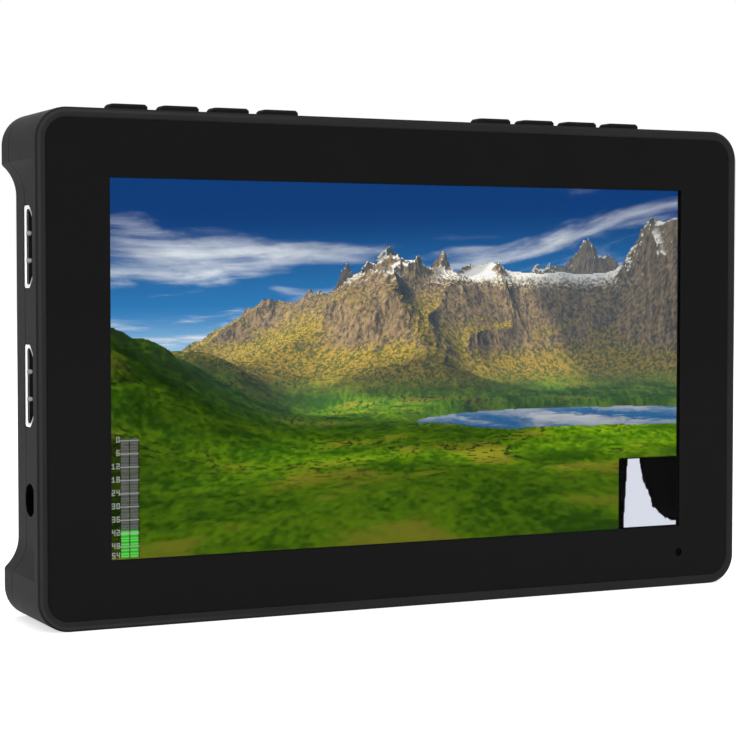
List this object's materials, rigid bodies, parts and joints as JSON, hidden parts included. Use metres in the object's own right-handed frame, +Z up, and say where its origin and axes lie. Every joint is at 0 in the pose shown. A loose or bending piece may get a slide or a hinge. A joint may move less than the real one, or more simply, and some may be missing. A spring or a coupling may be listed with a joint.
{
  "type": "camera field monitor",
  "caption": "Slim camera field monitor: wide screen under flush glass, drawn-in side waists with sockets, top keys, battery plate and tripod thread.",
  "frame": {"origin": "middle of the footprint, on the plane that the monitor stands on", "axes": "+X to the viewer's right as they face the screen, +Y from the screen to the back, +Z up"},
  "size_m": [0.149, 0.029, 0.0948],
  "materials": {
    "housing_plastic": "fine matte grain",
    "plate_plastic": "matte",
    "cover_glass": "polished, with a black printed border",
    "mounting_tape": "matte",
    "clear_bond": "clear",
    "screen": "lit picture behind the glass",
    "diffuser": "white",
    "tray_steel": "bare sheet",
    "foam": "soft foam",
    "frame_alloy": "pressed sheet",
    "circuit_board": "green solder mask",
    "chip_black": "moulded",
    "thermal_silicone": "soft",
    "ferrite": "dark",
    "can_aluminium": "bright",
    "connector_ivory": "matte",
    "ribbon_film": "amber film",
    "ribbon_white": "white film",
    "screw_steel": "bright",
    "screw_black": "black oxide",
    "socket_plating": "bright plating",
    "socket_black": "moulded",
    "smoked_lens": "smoked",
    "lamp": "milky",
    "key_rubber": "soft matte",
    "plunger_plastic": "moulded",
    "switch_steel": "pressed",
    "insert_brass": "turned",
    "lead_red": "insulation"
  },
  "bodies": {
    "housing": {"front_shell": "housing_plastic", "rear_cover": "housing_plastic", "cover_glass": "cover_glass", "glass_tape": "mounting_tape", "bonding_layer": "clear_bond", "lcd_panel": "screen", "backlight": "diffuser", "panel_tray": "tray_steel", "foam_pads": "foam", "mid_frame": "frame_alloy", "main_board": "circuit_board", "video_chip": "chip_black", "thermal_pad": "thermal_silicone", "heat_sink": "frame_alloy", "power_coils": "ferrite", "capacitors": "can_aluminium", "board_connectors": "connector_ivory", "panel_ribbon": "ribbon_film", "key_ribbons": "ribbon_white", "inner_screws": "screw_steel", "hdmi_input_shell": "socket_plating", "hdmi_input_core": "socket_black", "hdmi_output_shell": "socket_plating", "hdmi_output_core": "socket_black", "headphone_jack": "socket_black", "dc_jack": "socket_black", "dc_jack_pin": "socket_plating", "usb_port_shell": "socket_plating", "usb_port_core": "socket_black", "indicator_lens": "smoked_lens", "indicator_led": "lamp", "left_key_board": "circuit_board", "right_key_board": "circuit_board", "key_switches": "switch_steel", "tripod_insert": "insert_brass", "battery_plate": "plate_plastic", "terminal_block": "plate_plastic", "terminal_blades": "insert_brass", "battery_leads": "lead_red", "release_spring": "screw_steel", "case_screws": "screw_black"},
    "left_key_1": {"left_key_1": "key_rubber", "left_plunger_1": "plunger_plastic"},
    "left_key_2": {"left_key_2": "key_rubber", "left_plunger_2": "plunger_plastic"},
    "left_key_3": {"left_key_3": "key_rubber", "left_plunger_3": "plunger_plastic"},
    "left_key_4": {"left_key_4": "key_rubber", "left_plunger_4": "plunger_plastic"},
    "right_key_1": {"right_key_1": "key_rubber", "right_plunger_1": "plunger_plastic"},
    "right_key_2": {"right_key_2": "key_rubber", "right_plunger_2": "plunger_plastic"},
    "right_key_3": {"right_key_3": "key_rubber", "right_plunger_3": "plunger_plastic"},
    "right_key_4": {"right_key_4": "key_rubber", "right_plunger_4": "plunger_plastic"},
    "release_button": {"release_button": "plate_plastic"}
  },
  "joints": [
    {"name": "left_key_1_press", "type": "slide", "parent": "housing", "child": "left_key_1", "axis": [0, 0, -1], "range_m": [0, 0.0004], "stiffness_N_per_m": 800, "springref_m": -0.0008},
    {"name": "left_key_2_press", "type": "slide", "parent": "housing", "child": "left_key_2", "axis": [0, 0, -1], "range_m": [0, 0.0004], "stiffness_N_per_m": 800, "springref_m": -0.0008},
    {"name": "left_key_3_press", "type": "slide", "parent": "housing", "child": "left_key_3", "axis": [0, 0, -1], "range_m": [0, 0.0004], "stiffness_N_per_m": 800, "springref_m": -0.0008},
    {"name": "left_key_4_press", "type": "slide", "parent": "housing", "child": "left_key_4", "axis": [0, 0, -1], "range_m": [0, 0.0004], "stiffness_N_per_m": 800, "springref_m": -0.0008},
    {"name": "right_key_1_press", "type": "slide", "parent": "housing", "child": "right_key_1", "axis": [0, 0, -1], "range_m": [0, 0.0004], "stiffness_N_per_m": 800, "springref_m": -0.0008},
    {"name": "right_key_2_press", "type": "slide", "parent": "housing", "child": "right_key_2", "axis": [0, 0, -1], "range_m": [0, 0.0004], "stiffness_N_per_m": 800, "springref_m": -0.0008},
    {"name": "right_key_3_press", "type": "slide", "parent": "housing", "child": "right_key_3", "axis": [0, 0, -1], "range_m": [0, 0.0004], "stiffness_N_per_m": 800, "springref_m": -0.0008},
    {"name": "right_key_4_press", "type": "slide", "parent": "housing", "child": "right_key_4", "axis": [0, 0, -1], "range_m": [0, 0.0004], "stiffness_N_per_m": 800, "springref_m": -0.0008},
    {"name": "release_press", "type": "slide", "parent": "housing", "child": "release_button", "axis": [0, -1, 0], "range_m": [0, 0.0024], "stiffness_N_per_m": 500, "springref_m": -0.002, "deforming": ["release_spring"]}
  ]
}
